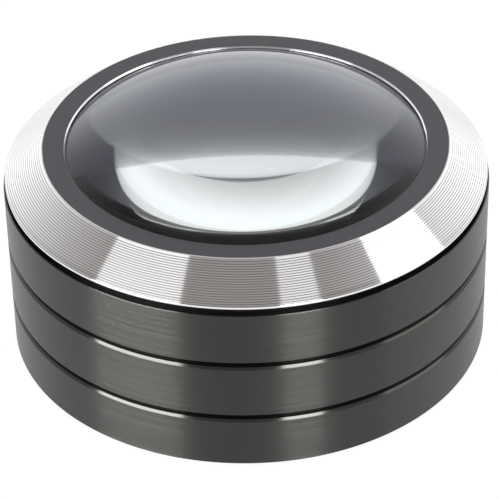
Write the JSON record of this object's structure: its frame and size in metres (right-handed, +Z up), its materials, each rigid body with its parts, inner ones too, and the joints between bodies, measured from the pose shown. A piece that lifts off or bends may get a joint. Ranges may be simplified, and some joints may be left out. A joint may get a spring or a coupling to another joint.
{
  "type": "illuminated desk magnifier",
  "caption": "Round stand magnifier: a domed lens in a bright bezel on a dark grooved drum, with lamps, a gravity switch and a battery door in its base.",
  "frame": {"origin": "centre of the base, on the surface that the foot pads rest on", "axes": "+Z up along the lens axis, +Y towards the battery door"},
  "size_m": [0.085, 0.085, 0.047],
  "materials": {
    "drum_anodised": "satin black-grey anodised",
    "black_plastic": "fine moulded texture",
    "bezel_bright": "fine turned grooves",
    "trim_grey": "matt dark grey",
    "lens_glass": "polished optical glass",
    "gasket_rubber": "matt",
    "liner_satin": "satin grey",
    "pad_rubber": "matt",
    "screw_steel": "black zinc",
    "cell_steel": "satin",
    "contact_nickel": "nickel plate",
    "board_green": "glass-fibre board",
    "lamp_clear": "clear epoxy",
    "chip_black": "matt",
    "pin_brass": "bare",
    "wire_red": "soft insulation",
    "wire_black": "soft insulation"
  },
  "bodies": {
    "body": {"base_plate": "black_plastic", "base_screws": "screw_steel", "battery_wire_black": "wire_black", "battery_wire_red": "wire_red", "bezel_ring": "bezel_bright", "board_screws": "screw_steel", "body_shell": "drum_anodised", "button_cell_1": "cell_steel", "button_cell_2": "cell_steel", "button_cell_3": "cell_steel", "chamber_liner": "liner_satin", "contact_minus": "contact_nickel", "contact_plus": "contact_nickel", "contact_spring": "contact_nickel", "foot_pads": "pad_rubber", "lamp_1": "lamp_clear", "lamp_2": "lamp_clear", "lamp_3": "lamp_clear", "lamp_board": "board_green", "lamp_leads": "contact_nickel", "lamp_resistors": "chip_black", "lamp_wire_red": "wire_red", "lens": "lens_glass", "lens_carrier": "black_plastic", "lens_gasket": "gasket_rubber", "switch_board": "board_green", "switch_board_screws": "screw_steel", "switch_can": "cell_steel", "switch_header": "black_plastic", "switch_pins": "pin_brass", "trim_ring": "trim_grey"},
    "battery_door": {"battery_door": "black_plastic"},
    "door_screw": {"door_screw": "screw_steel"},
    "switch_ball": {"switch_ball": "cell_steel"}
  },
  "joints": [
    {"name": "battery_door_slide", "type": "slide", "parent": "body", "child": "battery_door", "axis": [0, 0, -1], "range_m": [0, 0.02]},
    {"name": "door_screw_turn", "type": "hinge", "parent": "battery_door", "child": "door_screw", "pos_m": [0.00939, 0.03439, 0.0005], "axis": [0, 0, -1], "continuous": true},
    {"name": "switch_ball_rise", "type": "slide", "parent": "body", "child": "switch_ball", "axis": [0, 0, 1], "range_m": [0, 0.0015]}
  ]
}
